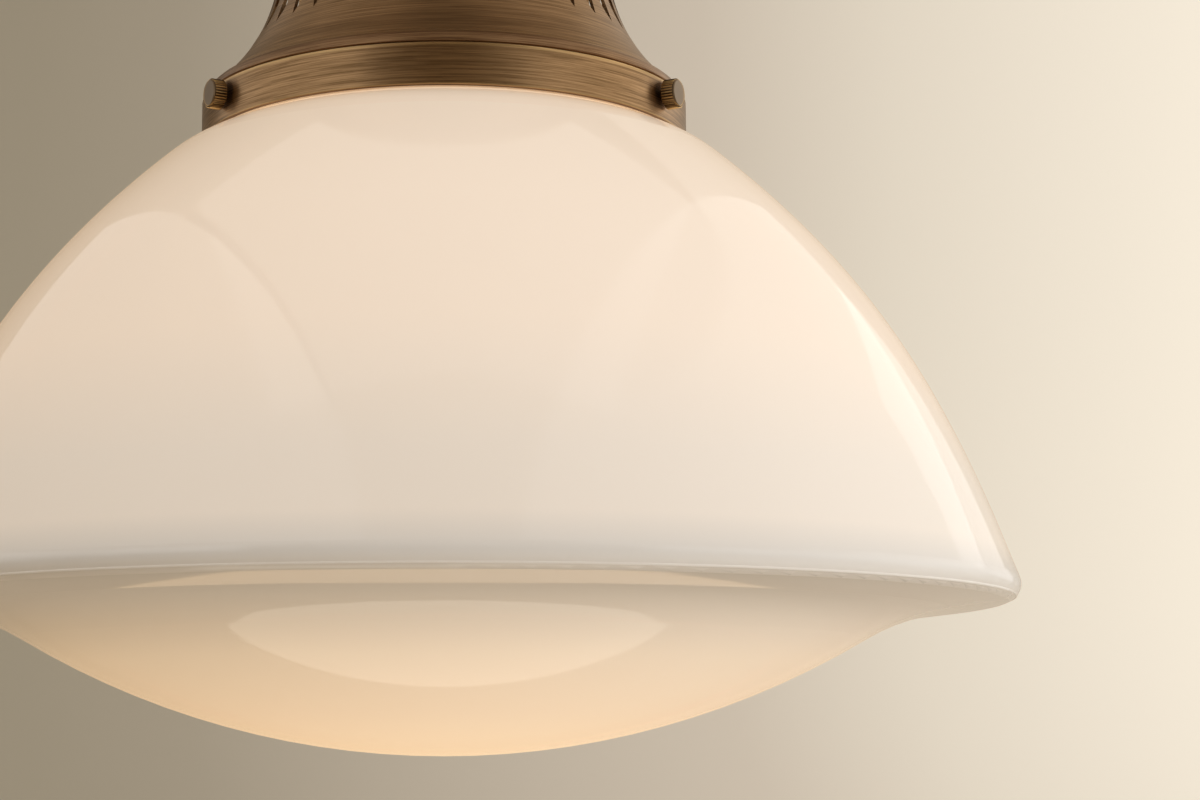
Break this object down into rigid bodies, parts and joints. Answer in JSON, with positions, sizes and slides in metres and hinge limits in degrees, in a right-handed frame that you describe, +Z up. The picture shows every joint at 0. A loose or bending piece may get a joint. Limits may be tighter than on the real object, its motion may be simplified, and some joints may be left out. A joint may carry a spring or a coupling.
{
  "type": "flush mount ceiling light",
  "caption": "Flush ceiling light with a pierced antique brass gallery, a thumbscrew shade holder and a wide closed opal glass shade round a cluster of lamps.",
  "frame": {"origin": "on the ceiling plane, at the centre of the mounting bar, on the light's vertical axis", "axes": "+Z up into the ceiling, -Y towards the viewer of the picture, +X to the right; the mounting bar runs along X"},
  "size_m": [0.3609, 0.361, 0.3214],
  "materials": {
    "antique_brass": "antique brown, brushed round the axis, edges rubbed bright",
    "opal_glass": "glossy opal white glass, closed below",
    "plain_brass": "plain turned",
    "zinc_steel": "zinc plated",
    "green_screw": "green dyed",
    "porcelain": "white glazed porcelain",
    "nickel_cap": "satin",
    "frosted_bulb": "frosted white inside"
  },
  "bodies": {
    "fixture": {"mounting_bar": "zinc_steel", "ground_screw": "green_screw", "canopy": "antique_brass", "canopy_screws": "antique_brass", "gallery": "antique_brass", "shade_holder": "antique_brass", "band_bushes": "antique_brass", "glass_shade": "opal_glass", "centre_pipe": "plain_brass", "pipe_nuts": "plain_brass", "pipe_washer": "zinc_steel", "lamp_plate": "zinc_steel", "socket_screws": "zinc_steel", "socket_body_1": "porcelain", "socket_shell_1": "plain_brass", "socket_contact_1": "plain_brass", "socket_body_2": "porcelain", "socket_shell_2": "plain_brass", "socket_contact_2": "plain_brass", "socket_body_3": "porcelain", "socket_shell_3": "plain_brass", "socket_contact_3": "plain_brass"},
    "screw_1": {"thumbscrew_1": "antique_brass"},
    "screw_2": {"thumbscrew_2": "antique_brass"},
    "screw_3": {"thumbscrew_3": "antique_brass"},
    "bulb_1": {"bulb_cap_1": "nickel_cap", "bulb_glass_1": "frosted_bulb"},
    "bulb_2": {"bulb_cap_2": "nickel_cap", "bulb_glass_2": "frosted_bulb"},
    "bulb_3": {"bulb_cap_3": "nickel_cap", "bulb_glass_3": "frosted_bulb"}
  },
  "joints": [
    {"name": "screw_1_out", "type": "slide", "parent": "fixture", "child": "screw_1", "axis": [0.866, -0.5, 0], "range_m": [0, 0.006]},
    {"name": "screw_2_out", "type": "slide", "parent": "fixture", "child": "screw_2", "axis": [0, 1, 0], "range_m": [0, 0.006]},
    {"name": "screw_3_out", "type": "slide", "parent": "fixture", "child": "screw_3", "axis": [-0.866, -0.5, 0], "range_m": [0, 0.006]},
    {"name": "bulb_1_out", "type": "slide", "parent": "fixture", "child": "bulb_1", "axis": [0, 0, -1], "range_m": [0, 0.026]},
    {"name": "bulb_2_out", "type": "slide", "parent": "fixture", "child": "bulb_2", "axis": [0, 0, -1], "range_m": [0, 0.026]},
    {"name": "bulb_3_out", "type": "slide", "parent": "fixture", "child": "bulb_3", "axis": [0, 0, -1], "range_m": [0, 0.026]}
  ]
}
